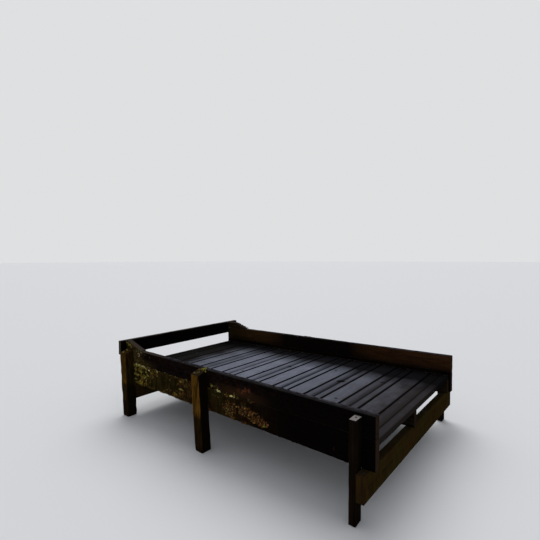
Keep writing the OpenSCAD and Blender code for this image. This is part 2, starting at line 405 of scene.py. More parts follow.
def mottled(tree, part, body, mottle):
    """Purple and rusty mottling on the sides, a rusty patch, and painted shade towards the stakes."""
    sides = (part.up, 0.7, 0.3)
    body = stain(tree, body, "#1b1312", (mottle, 0.48, 0.62, 0, 0.8), sides)
    body = stain(tree, body, "#24150a", (mottle, 0.44, 0.34, 0, 0.7), sides)
    size = (1 / RUSTY_SIZE_MM[0], 0, 1 / RUSTY_SIZE_MM[1])
    middle = (RUSTY_MIDDLE_MM[0] * size[0], 0, RUSTY_MIDDLE_MM[1] * size[2])
    face = add(tree, VECTOR, {0: part.place, 1: size}, operation="MULTIPLY")
    apart = add(tree, VECTOR, {0: face, 1: middle}, out=1, operation="DISTANCE")
    body = stain(tree, body, "#6a3c26", (apart, 1.3, 0.5), (mottle, 0.54, 0.42, 0, 0.95), part.outward)
    return shade_toward_stakes(tree, part, body)


def splashed_foot(tree, part, body):
    """Olive and rusty splashes along the foot of the outer faces."""
    foot = (part.z, *FOOT_MM)
    body = stain(tree, body, "#413517", foot, part.outward, (part.x, *OLIVE_FOOT_MM, 0, 0.85))
    from_rust = distance_from(tree, part.x, RUSTY_FOOT_MM)
    return stain(tree, body, "#3f2a19", foot, part.outward, (from_rust, 340, 100, 0, 0.75))


print("rusty patch at", RUSTY_MIDDLE_MM, "mm")

# %% [markdown]
# The kerbs' tops are grey and split, with damp patches, and pale where they dry near the rail. The
# inside of the far kerb is black in its middle and warm brown towards the stakes, and the faces that
# look towards the near side are painted darker low down, as shade. Pale lichen and a thin film of
# algae cover the rail end.

# %% Tops and inner faces of the kerbs
TOP_PATCH_MM = (22, 70)
OUTER_HALF_MM = (-818, -832)
DRY_TOP_MM = (-620, -860)
BLACK_MIDDLE_MM = -30
SPOT_MM = (16, 16)


def worn_top(tree, part, body):
    """Damp patches on the top, a darker outer half, and a dry pale end."""
    top = (part.up, 0.5, 0.8)
    patch = cloud(tree, part.sawn, TOP_PATCH_MM, 4, 0.7)
    body = stain(tree, body, "#151212", top, (patch, 0.42, 0.56, 0.95, 0))
    body = stain(tree, body, "#1a1919", top, (part.y, *OUTER_HALF_MM, 0, 0.85))
    return stain(tree, body, "#3c352e", top, (part.x, *DRY_TOP_MM, 0, 0.75))


def near_facing(tree, part, body):
    """Warm brown and black on the far kerb, damp at the rail end, and painted shade low down."""
    front = (part.front, -0.3, -0.8)
    far_side = (part.y, -100, 100)
    brown = stain(tree, linear("#422d16"), "#422a18", (part.x, -300, 900))
    body = stain(tree, body, brown, far_side, front, (part.streak, 0.3, 0.65, 0.3, 0.9))
    from_black = distance_from(tree, part.x, BLACK_MIDDLE_MM)
    body = stain(tree, body, "#0a0808", far_side, front, (from_black, 620, 400, 0, 0.93))
    body = stain(tree, body, "#1d1809", front, (part.x, -950, -1150, 0, 0.75))
    # Painted shade: faces that look towards the near side are darker low down
    return stain(tree, body, "#0b0907", front, (part.z, 580, 490, 0, 0.6))


def kerb_coat(tree, part, body):
    """Everything that weather does to the kerbs, with algae and lichen last."""
    mottle = cloud(tree, part.place, MOTTLE_MM, 4, 0.7)
    body = mottled(tree, part, body, mottle)
    body = splashed_foot(tree, part, body)
    body = worn_top(tree, part, body)
    body = near_facing(tree, part, body)
    body = stain(tree, body, "#40331b", (part.x, -980, -1120, 0, 0.9), part.outward,
        (mottle, 0.36, 0.56))
    spot = cloud(tree, part.place, SPOT_MM, 3, 0.7)
    return stain(tree, body, "#6f6c5c", (spot, 0.62, 0.68), (part.x, -550, -1250, 0, 0.8),
        (part.blotch, 0.5, 0.56))


KERBS = ("near_kerb", "far_kerb", "near_cheek", "far_cheek")
# The sides' near black is partly the stain and partly painted shade
timber("stained_softwood_planed", KERBS, "X", "#080504", "#120c09", "#3b393d",
    ("#221a14", "#352a20"), kerb_coat)

# %% [markdown]
# The end rail closes the outer end of the deck and is the darkest timber: nearly black, with a
# lighter worn top.

# %% End rail
RAIL = ("end_rail",)
timber("stained_softwood_end_rail", RAIL, "Y", "#070504", "#0e0a07", "#45403b",
    ("#2c231b", "#453a2e"))

# %% [markdown]
# The edge beams carry the moss. Under the cushions that come later, the wood itself is stained
# ochre and olive in long drips, which follow the rain down the face. The drips fade towards the
# stakes, where the beam is painted near black as shade.

# %% Edge beams
DRIP_MM = (26, 130)


def moss_stain(tree, part, body, *amounts):
    """Ochre and olive stain in drips that hang down the sides."""
    drip = cloud(tree, part.place, DRIP_MM, 4, 0.65)
    hue = stain(tree, linear("#33230e"), "#2d260e", (part.blotch, 0.42, 0.58))
    return stain(tree, body, hue, (drip, 0.44, 0.6, 0.35, 1), *amounts)


def beam_coat(tree, part, body):
    """Drips on the outer faces, and painted shade towards the stakes."""
    body = moss_stain(tree, part, body, (part.x, 750, -100, 0.05, 0.9), part.outward)
    return shade_toward_stakes(tree, part, body)


BEAMS = ("near_edge_beam", "far_edge_beam")
timber("mossy_softwood_beams", BEAMS, "X", "#080504", "#130d08", "#38322a",
    ("#221a14", "#352a20"), beam_coat)

# %% [markdown]
# The bearers and joists lie in the shade below the deck. They stay a dull damp brown, and the
# bearers carry the same olive stain as the beams.

# %% Bearers and joists
BEARER_STAIN = 0.95


def bearer_coat(tree, part, body):
    """Olive stain all over."""
    return moss_stain(tree, part, body, BEARER_STAIN)


BEARERS = ("lake_bearer", "bank_bearer")
timber("damp_softwood_bearers", BEARERS, "Y", "#17130a", "#2a2411", "#3a3329",
    ("#15100c", "#231b13"), bearer_coat)
JOISTS = ("near_joist", "middle_joist", "far_joist")
timber("damp_softwood_joists", JOISTS, "X", "#120e0a", "#271f16", "#3a3329", ("#1b150f", "#2c2218"))

# %% [markdown]
# Posts and stakes carry the beams. Their outer faces are ochre, partly with dried algae and partly
# as painted sunlight, in streaks that run down with the grain; the other faces are near black, as
# painted shade. Below a line some 165 mm under the top of the deck, the wood is darker. The stakes
# were cut later, so their sawn tops are still pale.

# %% Posts and stakes
# How high the line is, below which the posts are darker
DARK_LINE_MM = 300
OCHRE_RUN_MM = (9, 140)


def post_coat(tree, part, body):
    """Ochre outer faces, partly painted sunlight, near black inner ones, and darker wood below a line."""
    run = cloud(tree, part.sawn, OCHRE_RUN_MM, 3, 0.6)
    # Painted light: the outer faces are lit ochre, the others keep the near black of painted shade
    body = stain(tree, body, "#684817", part.outward, (run, 0.4, 0.62, 0.1, 1), (part.end, 1, 0))
    body = moss_stain(tree, part, body, (part.x, -600, -1000, 0.06, 0.9))
    ragged = add(tree, RANGE, {0: part.blotch, 1: 0.3, 2: 0.7, 3: -30, 4: 30})
    level = add(tree, MATH, {0: part.z, 1: ragged}, operation="ADD")
    return stain(tree, body, "#0e0b07", (level, DARK_LINE_MM + 35, DARK_LINE_MM - 35, 0, 0.85))


POSTS = ("near_lake_post", "far_lake_post", "near_middle_post", "far_middle_post")
timber("pressure_treated_pine_posts", POSTS, "Z", "#080605", "#110d09", "#3d3522",
    ("#15110b", "#2b2114"), post_coat, roughness=0.72)
STAKES = ("near_bank_stake", "far_bank_stake")
timber("fresh_sawn_pine_stakes", STAKES, "Z", "#0c0907", "#1a130d", "#6f6b68",
    ("#6a6665", "#84807c"), roughness=0.75)

# %% [markdown]
# A real timber has no sharp edge left after a few winters. A worn timber is a copy of its solid:
# its doubled corners are merged, its long edges bevelled, it is cut into short lengths, and then
# every point near an edge is pushed inwards by a smooth random amount. Nothing is ever pushed
# outwards, so the piece stays inside the solid that it stands for.

# %% Pieces that ride on the jetty
def add_piece(name, shape, material, stands_for=(), smooth=False):
    """Turns a bmesh into a piece that rides on the jetty, and hides the solids it stands for."""
    mesh = bpy.data.meshes.new(name)
    shape.to_mesh(mesh)
    shape.free()
    mesh.materials.append(material)
    if smooth:
        mesh.polygons.foreach_set("use_smooth", [True] * len(mesh.polygons))
    piece = stand(name, mesh)
    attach(piece, "root")
    if stands_for:
        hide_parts(*stands_for)
    return piece


print("finishes so far:", len(bpy.data.materials))

# %% Cuts along a timber
MERGE_MM = 0.01
CUT_MM = 44
CUTS_ACROSS = 3


def cut_short(shape):
    """Cuts a timber into short lengths, and a wide one across too."""
    low, high = [Vector(map(pick, zip(*[v.co for v in shape.verts]))) for pick in (min, max)]
    size = high - low
    longest = max(range(3), key=lambda side: size[side])
    for side in range(3):
        across = CUTS_ACROSS if size[side] > CUTS_ACROSS * CUT_MM * MM else 0
        cuts = int(size[side] / (CUT_MM * MM)) if side == longest else across
        normal = Vector([float(side == k) for k in range(3)])
        for k in range(1, cuts + 1):
            at = low + normal * size[side] * k / (cuts + 1)
            bmesh.ops.bisect_plane(shape, geom=shape.verts[:] + shape.edges[:] + shape.faces[:],
                dist=0.1 * MERGE_MM * MM, plane_co=at, plane_no=normal)


print("a cut every", CUT_MM, "mm")

# %% Worn timbers
SAME_FACE = math.radians(1)
SHARP = math.radians(35)
SQUARE = math.radians(60)
WANDER_MM = 45
FIBRE_MM = 12
FIBRE_LOSS_MM = 0.5
FIBRE_SHIFT = Vector((7, 3, 5))


def distance_to(point, a, b):
    """How far a point lies from an edge, which runs from a to b."""
    foot, share = geometry.intersect_point_line(point, a, b)
    return (point - (foot if 0 < share < 1 else a if share <= 0 else b)).length


def worn_timber(name, slot, bevel_mm=4, edge_mm=14, loss_mm=3.5):
    """A copy of one solid with rounded edges that have worn unevenly."""
    solid = nodes[name]
    shape = bmesh.new()
    shape.from_mesh(solid.data)
    bmesh.ops.remove_doubles(shape, verts=shape.verts, dist=MERGE_MM * MM)
    bmesh.ops.dissolve_limit(shape, angle_limit=SAME_FACE, verts=shape.verts, edges=shape.edges)
    sharp = [e for e in shape.edges if len(e.link_faces) == 2 and e.calc_face_angle() > SHARP]
    arrises = [(e.verts[0].co.copy(), e.verts[1].co.copy()) for e in sharp if e.is_convex]
    if bevel_mm:
        square = [e for e in sharp if e.is_convex and e.calc_face_angle() > SQUARE]
        bmesh.ops.bevel(shape, geom=square, offset=bevel_mm * MM, offset_type="OFFSET", affect="EDGES",
            segments=2, profile=0.5, material=-1)
    cut_short(shape)
    shape.normal_update()
    for v in shape.verts:
        near = min(distance_to(v.co, a, b) for a, b in arrises)
        edge = max(0, 1 - near / (edge_mm * MM))
        bite = 0.5 + 0.5 * noise.noise(v.co / (WANDER_MM * MM))
        fibre = 0.5 + 0.5 * noise.noise(v.co / (FIBRE_MM * MM) + FIBRE_SHIFT)
        v.co -= v.normal * (edge * bite ** 2 * loss_mm + FIBRE_LOSS_MM * fibre) * MM
    return add_piece("worn_" + name, shape, solid.data.materials[0], [name])


# The solids that wear, their slot, and how they wear
WORN = ((BOARDS, "deck", dict(bevel_mm=0, loss_mm=2.5, edge_mm=8)), (KERBS, "kerb", {}),
    (RAIL, "rail", dict(loss_mm=2)), (BEAMS, "beam", {}),
    (POSTS + STAKES, "post", dict(bevel_mm=3, edge_mm=22, loss_mm=8)))
worn = [worn_timber(name, slot, **how) for names, slot, how in WORN for name in names]
print("worn timbers:", len(worn))

# %% [markdown]
# Moss is green only at its living tips; the mat below is brown and old. Its dark patches are partly
# painted shade, and its light tips partly a painted highlight. It is rough to the last millimetre, so
# it has no gloss, and a little sheen stands for the light that its tips catch. Lichen is a dry crust,
# pale grey-green, and much flatter.

# %% Moss and lichen finishes
TIP_MM = (8, 8)
TIP_RELIEF_MM = 2
# Where a tint starts and is full, along the jetty: rail end, second post, golden patch, stake end
MOSS_ZONES_MM = ((-1060, -900, "#c2ae9a"), (-750, 100, "#e8b888"), (250, 500, "#f2dccc"),
    (500, 850, "#806a5c"))


def growth(name, dark, middle, tips, patch_mm=30, drip_mm=(8, 20), sheen=0.1, zones=()):
    """A soft matt growth: dark and middle take turns in patches, the dark partly painted shade, and its
    tips are lighter, partly a painted highlight.
    Each zone tints it from one place along the jetty to the next."""
    material, tree, place = empty_material(name)
    patch = cloud(tree, place, (patch_mm, patch_mm), 3, 0.6)
    drip = cloud(tree, place, drip_mm, 3, 0.6)
    tip = cloud(tree, place, TIP_MM, 2, 0.7)
    body = add(tree, MATH, {0: patch, 1: drip}, operation="ADD")
    body = stain(tree, linear(dark), middle, (body, 0.86, 1.1))
    lit = add(tree, MATH, {0: tip, 1: drip}, operation="ADD")
    # The tips: partly living green, partly a painted highlight
    body = stain(tree, body, tips, (lit, 1.06, 1.26))
    along = add(tree, "ShaderNodeSeparateXYZ", {0: place})
    for start, end, tint in zones:
        inside = add(tree, RANGE, {0: along, 1: start, 2: end})
        body = add(tree, inputs={0: inside, 6: body, 7: linear(tint)}, blend_type="MULTIPLY", **MIX)
    surface(tree, body, tip, TIP_RELIEF_MM,
        {"Roughness": 0.95, "Specular IOR Level": 0.05, "Sheen Weight": sheen})
    print("growth:", name)
    return material


moss_green = growth("cushion_moss", "#2f270b", "#6b601c", "#b9a845", 50, (11, 30), 0.1,
    MOSS_ZONES_MM[::3])
moss_brown = growth("old_moss_mat", "#151005", "#54450f", "#ab9230", 60, (22, 28), 0.03, MOSS_ZONES_MM)
moss_gold = growth("dry_gold_moss", "#26180c", "#6f5028", "#cba565", 40, (14, 22), 0.03,
    MOSS_ZONES_MM[2:])
moss_dead = growth("dead_moss", "#14100b", "#241c11", "#3a311c", 60, (9, 20), 0.05)
lichen_pale = growth("crust_lichen", "#3a3622", "#5e5836", "#827a4e", 24, sheen=0)
clump_pale = growth("pale_feather_moss", "#a79e66", "#cfc786", "#ece6ad")
tuft_bright = growth("bright_feather_moss", "#5a5518", "#857d2c", "#bdb45c")

# %% [markdown]
# On both edge beams the moss hangs as a mat in drips, thick towards the rail. The mat starts as a
# fine grid over the beam's outer face. Noise says how thick it is at each point, and where there
# is none the grid is cut away, so islands are left. A Solidify modifier closes them from behind.

# %% Where moss grows on the edge beams
RAIL_END_MM = -1300
NEAR_FACE_MM = -848.7
FAR_FACE_MM = 648.9
BEAM_LOW_MM = 312
BEAM_HIGH_MM = 500
# How far below the beam's upper edge the wet ledge is, and how far up and down its moss reaches
LEDGE_MM = (10, 24)
# Along and up: how far apart the drips and the patches are
MAT_DRIP_MM = (23, 62)
MAT_PATCH_MM = (150, 90)
# One for each side, so that the two mats differ
MAT_SEEDS = (0, 40)
# Towards the rail there is more moss: where it starts, and how much further on it is full
RAILWARD_MM = (700, 900)
# Places on the face, with their middle and their reach along and up: thick with moss, and bare
LOBES_MM = (((160, 375), (66, 55)), ((330, 396), (80, 32)), ((430, 394), (66, 42)),
    ((515, 355), (62, 38)))
BARE_MM = (((-785, 372), (80, 62)), ((-590, 490), (105, 42)), ((-20, 430), (70, 120)),
    ((270, 338), (42, 22)), ((262, 388), (18, 34)), ((575, 485), (70, 34)))


def bump_at(along_mm, up_mm, middle, reach):
    """1 at a middle, and nearly 0 beyond its reach along and up."""
    return math.exp(-((along_mm - middle[0]) / reach[0]) ** 2 - ((up_mm - middle[1]) / reach[1]) ** 2)


def mat_cover(along_mm, up_mm, seed):
    """How much moss there is at a point of the face: below 0 is bare wood."""
    at_drip = Vector((along_mm / MAT_DRIP_MM[0], seed, up_mm / MAT_DRIP_MM[1]))
    at_patch = Vector((along_mm / MAT_PATCH_MM[0], seed + 9, up_mm / MAT_PATCH_MM[1]))
    drip = noise.fractal(at_drip, 0.8, 2.0, 4)
    patch = noise.fractal(at_patch, 0.9, 2.0, 3)
    ledge = max(0, 1 - abs(up_mm - BEAM_HIGH_MM + LEDGE_MM[0]) / LEDGE_MM[1])
    railward = max(0, min(1, (RAILWARD_MM[0] - along_mm) / RAILWARD_MM[1]))
    lobe = sum(bump_at(along_mm, up_mm, *place) for place in LOBES_MM)
    bare = sum(bump_at(along_mm, up_mm, *place) for place in BARE_MM)
    return (-0.53 + 0.62 * railward + 0.5 * drip + 0.85 * patch + 0.55 * ledge * railward
        + 0.7 * lobe - bare)


print("moss by the rail:", mat_cover(-1200, 490, MAT_SEEDS[0]))

# %% Moss mats on the edge beams
NEAR_OUT = Vector((0, -1, 0))
MAT_LENGTH_MM = 2600
MAT_STEP_MM = 5
LUMP_MM = (13, 26)
MAT_THICK_MM = 12
MAT_SUNK_MM = 1.5
MAT_BACK_MM = 3


def moss_mat(name, face_mm, along, out, seed):
    """A mat on the outer face of a beam, and the places on it where shoots can grow."""
    start = Vector((RAIL_END_MM * MM, face_mm * MM, 0))
    shape = bmesh.new()
    high_mm = BEAM_HIGH_MM - BEAM_LOW_MM
    bmesh.ops.create_grid(shape, x_segments=int(MAT_LENGTH_MM / MAT_STEP_MM),
        y_segments=int(high_mm / MAT_STEP_MM), size=0.5)
    cover = {}
    tips = []
    for v in shape.verts:
        along_mm = (v.co.x + 0.5) * MAT_LENGTH_MM
        up_mm = BEAM_LOW_MM + (v.co.y + 0.5) * high_mm
        cover[v] = mat_cover(along_mm + start.x / MM, up_mm, seed)
        lump = 0.55 + 0.75 * noise.noise(Vector((along_mm / LUMP_MM[0], up_mm / LUMP_MM[1], seed)))
        thick = max(0, min(1, cover[v] / 0.45)) * lump * MAT_THICK_MM
        v.co = start + along * along_mm * MM + Vector((0, 0, up_mm * MM)) + out * (thick - MAT_SUNK_MM) * MM
        if cover[v] > 0.12:
            tips.append(v.co.copy())
    bare = [f for f in shape.faces if max(cover[v] for v in f.verts) < 0]
    bmesh.ops.delete(shape, geom=bare, context="FACES")
    shape.normal_update()
    if sum((f.normal for f in shape.faces), Vector()).dot(out) < 0:
        bmesh.ops.reverse_faces(shape, faces=shape.faces)
    piece = add_piece(name, shape, moss_brown, smooth=True)
    closed = piece.modifiers.new("closed_behind", "SOLIDIFY")
    closed.thickness = MAT_BACK_MM * MM
    closed.offset = -1
    return piece, tips


near_mat, near_tips = moss_mat("near_beam_moss", NEAR_FACE_MM, Vector((1, 0, 0)), NEAR_OUT,
    MAT_SEEDS[0])
far_along = Vector((1, FAR_SLOPE, 0)).normalized()
far_out = far_along.cross(Vector((0, 0, -1)))
far_mat, far_tips = moss_mat("far_beam_moss", FAR_FACE_MM, far_along, far_out, MAT_SEEDS[1])
print("moss mats:", len(near_mat.data.polygons), len(far_mat.data.polygons), "faces")

# %% [markdown]
# Loose shoots stand out of the mats, and round cushions sit where rain gathers. Each is a small
# pattern that is copied thousands of times, so a shoot has three sides, and a cushion is a ball of
# 40 faces, pressed flat.

# %% Shoots and cushions
UP = Vector((0, 0, 1))
random.seed(7)

shoot_pattern = bmesh.new()
bmesh.ops.create_cone(shoot_pattern, cap_ends=True, cap_tris=True, segments=3, radius1=1,
    radius2=0.12, depth=1)
ball_pattern = bmesh.new()
bmesh.ops.create_uvsphere(ball_pattern, u_segments=8, v_segments=5, radius=1)
for pattern in (shoot_pattern, ball_pattern):
    pattern.verts.index_update()


def stamp(shape, pattern, moved):
    """Adds a copy of a pattern, with each of its points moved by a function."""
    points = [shape.verts.new(moved(v.co)) for v in pattern.verts]
    for face in pattern.faces:
        shape.faces.new([points[v.index] for v in face.verts])


def scatter(spread_mm):
    """A random step in any direction."""
    return Vector([gauss(0, spread_mm) for _ in range(3)]) * MM


def shoot(shape, at, out, height_mm=(4, 8), width_mm=(1, 1.8)):
    """One tapering moss shoot, with its height and its width drawn between two limits."""
    height = uniform(*height_mm) * MM
    width = uniform(*width_mm) * MM
    lean = out + Vector([uniform(-0.5, 0.5) for _ in range(3)]) + Vector((0, 0, 0.35))
    turn = lean.to_track_quat("Z", "Y")
    size = Vector((width, width, height))
    middle = at + lean.normalized() * height * 0.4
    stamp(shape, shoot_pattern, lambda co: middle + turn @ (co * size))


def cushion(shape, at, radius_mm, flat, up=UP):
    """A moss cushion: a ball pressed flat along one direction, with an uneven skin."""
    def moved(co):
        pressed = co - up * co.dot(up) * (1 - flat)
        return at + pressed * radius_mm * MM * (1 + 0.35 * noise.noise(co * 1.6 + at * 50))
    stamp(shape, ball_pattern, moved)


print("faces:", len(shoot_pattern.faces), "a shoot and", len(ball_pattern.faces), "a cushion")

# %% [markdown]
# The mats get their living tips, and rows of cushions grow along the ledge under both kerbs. They
# are close together at the rail, sparse towards the stakes, and gone where the ledge is bare.
# Golden lumps stand on the faces below, most of them where the mat is thick.

# %% Moss along the edge beams
ACROSS = Vector((0, 1, 0))
# On the near and on the far side: outwards, and a little up
OUT_AND_UP = (Vector((0, -1, 0.2)), Vector((0, 1, 0.2)))
SHOOTS_ON_MAT = 2200
SHOOTS_EACH = 4
LEDGE_CUSHIONS = 900
LEDGE_START_MM = -1290
LEDGE_LENGTH_MM = 1750
LEDGE_GAPS_MM = 70
CLOSE_END_MM = -800
LUMPS = 900
LUMPS_ALONG_MM = (-1280, -180)


def far_face_mm(x_mm):
    """Where the outer face on the far side is."""
    return FAR_FACE_MM + FAR_SLOPE * (x_mm - RAIL_END_MM)


shoots = bmesh.new()
for tips, out in ((near_tips, NEAR_OUT), (far_tips, far_out)):
    for at in random.sample(tips, min(SHOOTS_ON_MAT, len(tips))):
        shoot(shoots, at, out, (4, 9), (1.4, 2.6))
shoot_piece = add_piece("moss_shoots", shoots, moss_green)

cushions = bmesh.new()
for k in range(LEDGE_CUSHIONS):
    x = LEDGE_START_MM + LEDGE_LENGTH_MM * random.random() ** 1.7
    thin = -0.1 if x < CLOSE_END_MM else 0.12
    gap = noise.noise(Vector((x / LEDGE_GAPS_MM, k % 2, 0))) < thin
    if gap or bump_at(x, BEAM_HIGH_MM - LEDGE_MM[0], *BARE_MM[1]) > 0.5:
        continue
    y = far_face_mm(x) if k % 2 else NEAR_FACE_MM
    at = Vector((x, y + uniform(-2, 2), BEAM_HIGH_MM + gauss(-5, 8))) * MM
    cushion(cushions, at, 2.5 + 7 * random.random() ** 2, uniform(0.4, 0.7), ACROSS)
    for j in range(SHOOTS_EACH):
        shoot(cushions, at + scatter(4), OUT_AND_UP[k % 2])
cushion_piece = add_piece("moss_cushions", cushions, moss_green, smooth=True)

lumps = bmesh.new()
for k in range(LUMPS):
    if k % 3:
        middle, reach = LOBES_MM[k // 3 % len(LOBES_MM)]
        x, z = [gauss(middle[j], 0.6 * reach[j]) for j in range(2)]
    else:
        x, z = uniform(*LUMPS_ALONG_MM), uniform(BEAM_LOW_MM + 20, BEAM_HIGH_MM - 20)
    z = min(max(z, BEAM_LOW_MM + 8), BEAM_HIGH_MM - 14)
    if mat_cover(x, z, MAT_SEEDS[k % 2]) < 0.02:
        continue
    y = far_face_mm(x) + 3 if k % 2 else NEAR_FACE_MM - 3
    at = Vector((x, y, z)) * MM
    cushion(lumps, at, uniform(3, 9), 0.5, ACROSS)
    for j in range(SHOOTS_EACH):
        shoot(lumps, at + scatter(6), OUT_AND_UP[k % 2], (4, 9), (1, 2))
add_piece("moss_lumps", lumps, moss_gold, smooth=True)
print("shoots:", len(shoot_piece.data.polygons), "cushions:", len(cushion_piece.data.polygons), "faces")

# %% [markdown]
# Moss also takes the places where rain stands: the post tops, a tuft between the second post and
# the kerb, and the feet of both kerbs on the deck.

# %% Moss on post tops and at the kerbs' feet
# Middle of each post top, and how steeply it rises towards the far side
POST_TOPS_MM = ((-1251, -896, 623, 0.316), (-155, -896, 623, 0.316), (-1251, 700, 630, -0.126),
    (-206, 790, 630, -0.126))
POST_TOP_REACH_MM = 37
PATCHES_ON_TOP = 4
PATCH_CUSHIONS = 11
# Middle of the tuft by the second post, and its spread
TUFT_MM = (-108, -856, 636)
TUFT_SPREAD_MM = (15, 3, 7)
TUFT_CUSHIONS = 14
TUFT_SHOOTS = 10
CHEEK_END_CUSHIONS = 9
CHEEK_END_MM = ((-1300, -842, 704), (-1285, -846, 690), (-1262, -847, 680), (-1240, -848, 672),
    (-1215, -847, 660))
CHEEK_TOP_MM = 712
FEET_CUSHIONS = 420


def far_foot_mm(x_mm):
    """Where the inner face of the far kerb meets the deck."""
    return FAR_KERB_MM + FAR_SLOPE * (x_mm - DECK_START_MM)


corners = bmesh.new()
for x, y, z, rise in POST_TOPS_MM:
    for patch in range(PATCHES_ON_TOP):
        middle = Vector((x + uniform(-34, 34), y + uniform(-34, 34), z - 1))
        for k in range(PATCH_CUSHIONS):
            at = middle + Vector((gauss(0, 8), gauss(0, 8), uniform(-2, 1)))
            at.y = min(max(at.y, y - POST_TOP_REACH_MM), y + POST_TOP_REACH_MM)
            at.z += rise * (at.y - y)
            cushion(corners, at * MM, uniform(3, 7), 0.5)

kerb_tuft = bmesh.new()
for k in range(TUFT_CUSHIONS):
    at = Vector([middle + gauss(0, spread) for middle, spread in zip(TUFT_MM, TUFT_SPREAD_MM)]) * MM
    cushion(kerb_tuft, at, uniform(4, 9), 0.8)
    for j in range(TUFT_SHOOTS):
        shoot(kerb_tuft, at + scatter(5), Vector((0, -0.6, 1)), (6, 13), (1.2, 2.2))
add_piece("kerb_tuft", kerb_tuft, tuft_bright, smooth=True)

for x, y, z in CHEEK_END_MM:
    for k in range(CHEEK_END_CUSHIONS):
        height = min(z + gauss(0, 5), CHEEK_TOP_MM - 9)
        at = Vector((x + gauss(0, 9), y + uniform(-3, 3), height)) * MM
        cushion(corners, at, uniform(3, 7), 0.7, ACROSS)
corner_piece = add_piece("post_top_moss", corners, moss_green, smooth=True)

feet = bmesh.new()
for k in range(FEET_CUSHIONS):
    x = uniform(LEDGE_START_MM, STAKE_END_MM - 5)
    y = far_foot_mm(x) - abs(gauss(0, 9)) if k % 3 else NEAR_KERB_MM + abs(gauss(0, 6))
    cushion(feet, Vector((x, y, DECK_TOP_MM - 1)) * MM, uniform(2.5, 8), 0.45)
feet_piece = add_piece("kerb_foot_moss", feet, moss_dead, smooth=True)
print("post tops and feet:", len(corner_piece.data.polygons) + len(feet_piece.data.polygons), "faces")

# %% [markdown]
# Lichen grows where the wood is dry and bright: on the rail end of the near kerb, along its lower
# edge, and high on its cheek. It is a thin crust, so each one is a rosette of cushions that are
# pressed nearly flat.

# %% Lichen on the outer faces
LICHEN_FLAT = 0.2
# Count, start and reach along the face, crowding, and the limits of the heights and the radii
KERB_CRUSTS = (30, RAIL_END_MM, 420, 1.6, (506, 630), (2, 7))
CHEEK_CRUSTS = (26, -1135, 105, 1, (622, 652), (2, 6))
EDGE_CRUSTS = 30
EDGE_END_MM = -300


def rosette(shape, at, radius_mm, up):
    """A crust of lichen: a few flat lobes that overlap around a point."""
    for lobe in range(random.randint(3, 6)):
        turn = uniform(0, math.tau)
        side, rise = math.cos(turn), math.sin(turn)
        around = Vector((side, 0, rise)) if up.y else Vector((side, rise, 0))
        middle = at + around * radius_mm * uniform(0.4, 1) * MM
        cushion(shape, middle, radius_mm * uniform(0.35, 0.8), LICHEN_FLAT, up)


def face_crusts(shape, count, start_mm, reach_mm, crowding, heights_mm, radii_mm):
    """Crusts on the near side. A crowding above 1 draws them towards their start."""
    for k in range(count):
        x = start_mm + reach_mm * random.random() ** crowding
        at = Vector((x, NEAR_FACE_MM + 0.3, uniform(*heights_mm))) * MM
        rosette(shape, at, uniform(*radii_mm), ACROSS)


crusts = bmesh.new()
face_crusts(crusts, *KERB_CRUSTS)
for k in range(EDGE_CRUSTS):
    x = uniform(LEDGE_START_MM, EDGE_END_MM)
    at = Vector((x, NEAR_FACE_MM - uniform(0, 3), BEAM_HIGH_MM + gauss(0, 5))) * MM
    cushion(crusts, at, uniform(3, 7), 0.5, ACROSS)
face_crusts(crusts, *CHEEK_CRUSTS)
print("crusts on the near side:", len(crusts.faces), "faces")

# %% [markdown]
# Three feathery mosses grow in clumps: a pale one on the ledge, a bright one by the rail and on the
# thick lobes of the mat, and an olive one beyond the second post. Each clump is listed by its
# middle and its spread along the face.

# %% Clumps of feathery moss
PALE_CLUMPS_MM = ((58, 497, 16), (213, 489, 30), (-905, 480, 12), (-1118, 500, 12), (-1070, 499, 10),
    (-1022, 497, 12), (-995, 500, 14), (-960, 492, 8), (-770, 492, 8))
BRIGHT_TUFTS_MM = ((-1160, 490, 26), (-1120, 488, 28), (-1080, 492, 34), (-1040, 496, 30),
    (-1000, 490, 34), (-945, 484, 26), (-870, 462, 20), (-1140, 446, 26), (-1050, 440, 24),
    (-960, 452, 18), (-1150, 400, 30), (-1100, 398, 20), (-1140, 352, 24), (-1060, 345, 20),
    (-430, 402, 24), (-500, 345, 20), (-420, 470, 14), (160, 380, 26), (185, 352, 22), (430, 402, 22),
    (515, 352, 22), (-962, 402, 26), (-925, 424, 20), (-1192, 346, 26), (-1205, 380, 20), (-20, 520, 12))
OLIVE_TUFTS_MM = ((20, 530, 34), (5, 446, 40), (150, 490, 10), (320, 450, 26), (345, 430, 24))
CLUMP_FLAT = 0.6


def feathery(places_mm, out_mm, count, along, up_mm, radius_mm):
    """Clumps on the near side: cushions this far out of its face, each with one shoot."""
    shape = bmesh.new()
    for x, z, spread in places_mm:
        for k in range(count):
            shift = gauss(0, along) * spread
            at = Vector((x + shift, NEAR_FACE_MM - out_mm, z + gauss(0, up_mm))) * MM
            cushion(shape, at, uniform(*radius_mm), CLUMP_FLAT, ACROSS)
            shoot(shape, at, OUT_AND_UP[0])
    return shape


clumps = bmesh.new()
for x, z, spread in PALE_CLUMPS_MM:
    for k in range(16):
        shift = uniform(-spread, spread)
        at = Vector((x + shift, NEAR_FACE_MM - 2.3, z + gauss(0, 3))) * MM
        cushion(clumps, at, uniform(3, 6), CLUMP_FLAT, ACROSS)
bright = feathery(BRIGHT_TUFTS_MM, 1.8, 16, 0.5, 5, (2.5, 6))
olive = feathery(OLIVE_TUFTS_MM, 1.3, 20, 0.6, 9, (2, 4.5))
for name, shape, moss in (("olive_tufts", olive, moss_green), ("bright_tufts", bright, tuft_bright),
        ("pale_clumps", clumps, clump_pale)):
    piece = add_piece(name, shape, moss, smooth=True)
    print(name, len(piece.data.polygons), "faces")

